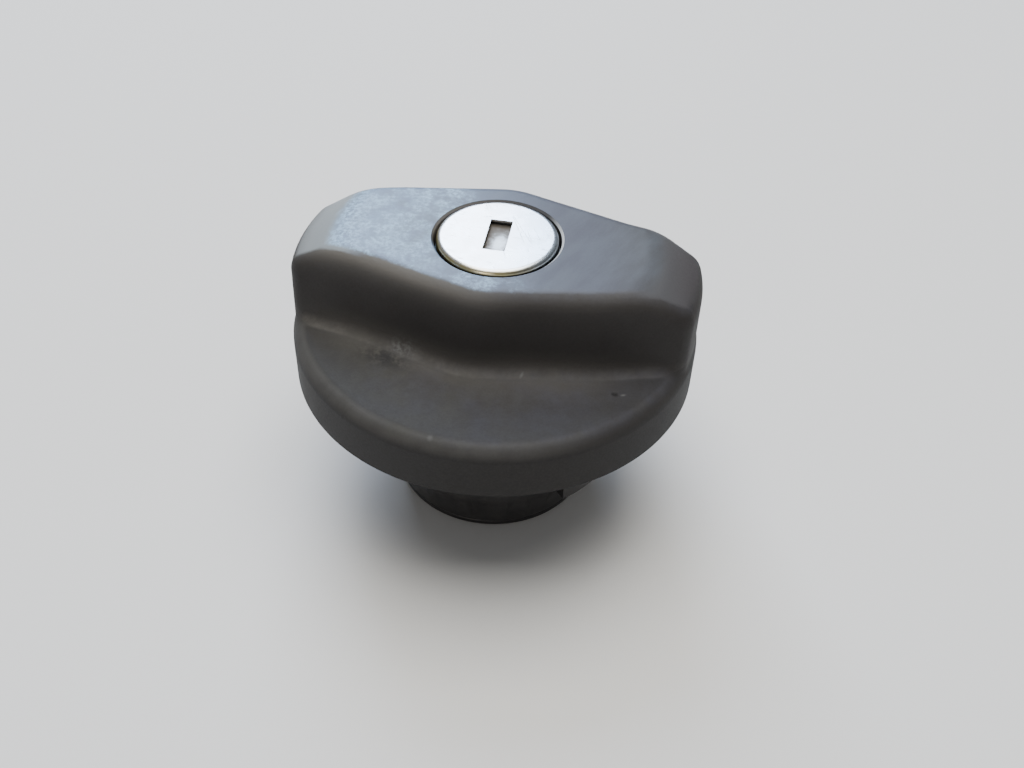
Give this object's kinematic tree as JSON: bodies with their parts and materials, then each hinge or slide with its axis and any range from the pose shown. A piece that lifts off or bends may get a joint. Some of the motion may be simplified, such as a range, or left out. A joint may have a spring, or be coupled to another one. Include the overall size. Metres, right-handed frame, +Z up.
{
  "type": "fuel filler cap",
  "caption": "Locking bayonet fuel filler cap with an S-shaped grip, a key lock in the top, and a plug below that has lugs, a gasket and pressure valves.",
  "frame": {"origin": "centre of the base that the cap stands on, on the axis of the cap", "axes": "+Z up along the axis, from the valve cover to the lock; +X along the grip"},
  "size_m": [0.0696, 0.0696, 0.0524],
  "materials": {
    "worn_plastic": "moulded, fine grain, worn",
    "black_plastic": "moulded, smooth",
    "rubber": "matte",
    "face_steel": "satin, scratched",
    "shutter_steel": "satin",
    "spring_steel": "drawn wire and strip",
    "plated_steel": "zinc plated",
    "die_cast_zinc": "die cast",
    "brass_parts": "stamped and turned"
  },
  "bodies": {
    "plug": {"bayonet_body": "black_plastic", "gasket": "rubber", "valve_cover": "black_plastic", "pressure_spring": "spring_steel"},
    "handle": {"cap_shell": "worn_plastic", "snap_ring": "spring_steel", "bolt_guide": "black_plastic", "guide_screws": "plated_steel", "lock_housing": "die_cast_zinc", "housing_clip": "spring_steel", "housing_seal": "rubber"},
    "key_plug": {"lock_face": "face_steel", "key_barrel": "die_cast_zinc", "shutter_pin": "spring_steel", "shutter_spring": "spring_steel", "wafer_springs_front": "spring_steel", "wafer_springs_back": "spring_steel", "cam_disc": "plated_steel", "cam_screw": "plated_steel"},
    "bolt": {"lock_bolt": "die_cast_zinc"},
    "shutter": {"shutter_flap": "shutter_steel"},
    "pressure_valve": {"valve_carrier": "black_plastic", "pressure_seal": "rubber", "vacuum_spring": "spring_steel"},
    "vacuum_valve": {"vacuum_disc": "brass_parts", "stem_clip": "spring_steel"},
    "wafer_1": {"wafer_1": "brass_parts"},
    "wafer_2": {"wafer_2": "brass_parts"},
    "wafer_3": {"wafer_3": "brass_parts"},
    "wafer_4": {"wafer_4": "brass_parts"},
    "wafer_5": {"wafer_5": "brass_parts"},
    "wafer_6": {"wafer_6": "brass_parts"}
  },
  "joints": [
    {"name": "handle_turn", "type": "hinge", "parent": "plug", "child": "handle", "pos_m": [0, 0, 0.03], "axis": [0, 0, 1], "continuous": true},
    {"name": "key_turn", "type": "hinge", "parent": "handle", "child": "key_plug", "pos_m": [0, 0, 0.035], "axis": [0, 0, -1], "range_deg": [0, 90]},
    {"name": "bolt_slide", "type": "slide", "parent": "handle", "child": "bolt", "axis": [0, 1, 0], "range_m": [0, 0.0025]},
    {"name": "shutter_swing", "type": "hinge", "parent": "key_plug", "child": "shutter", "pos_m": [0.00312, -0.00044, 0.05105], "axis": [-0.1392, -0.9903, 0], "range_deg": [0, 80], "stiffness_Nm_per_rad": 0.0002, "springref_deg": -28.65},
    {"name": "pressure_lift", "type": "slide", "parent": "plug", "child": "pressure_valve", "axis": [0, 0, 1], "range_m": [0, 0.0015], "stiffness_N_per_m": 300, "springref_m": -0.0035, "deforming": ["pressure_spring"]},
    {"name": "vacuum_drop", "type": "slide", "parent": "pressure_valve", "child": "vacuum_valve", "axis": [0, 0, -1], "range_m": [0, 0.0012], "stiffness_N_per_m": 40, "springref_m": -0.002, "deforming": ["vacuum_spring"]},
    {"name": "wafer_1_slide", "type": "slide", "parent": "key_plug", "child": "wafer_1", "axis": [0.1392, 0.9903, 0], "range_m": [0, 0.0008]},
    {"name": "wafer_2_slide", "type": "slide", "parent": "key_plug", "child": "wafer_2", "axis": [-0.1392, -0.9903, 0], "range_m": [0, 0.0008]},
    {"name": "wafer_3_slide", "type": "slide", "parent": "key_plug", "child": "wafer_3", "axis": [0.1392, 0.9903, 0], "range_m": [0, 0.0008]},
    {"name": "wafer_4_slide", "type": "slide", "parent": "key_plug", "child": "wafer_4", "axis": [-0.1392, -0.9903, 0], "range_m": [0, 0.0008]},
    {"name": "wafer_5_slide", "type": "slide", "parent": "key_plug", "child": "wafer_5", "axis": [0.1392, 0.9903, 0], "range_m": [0, 0.0008]},
    {"name": "wafer_6_slide", "type": "slide", "parent": "key_plug", "child": "wafer_6", "axis": [-0.1392, -0.9903, 0], "range_m": [0, 0.0008]}
  ],
  "couplings": [
    {"joint": "bolt_slide", "follows": "key_turn", "m_per_rad": 0.0015915}
  ]
}
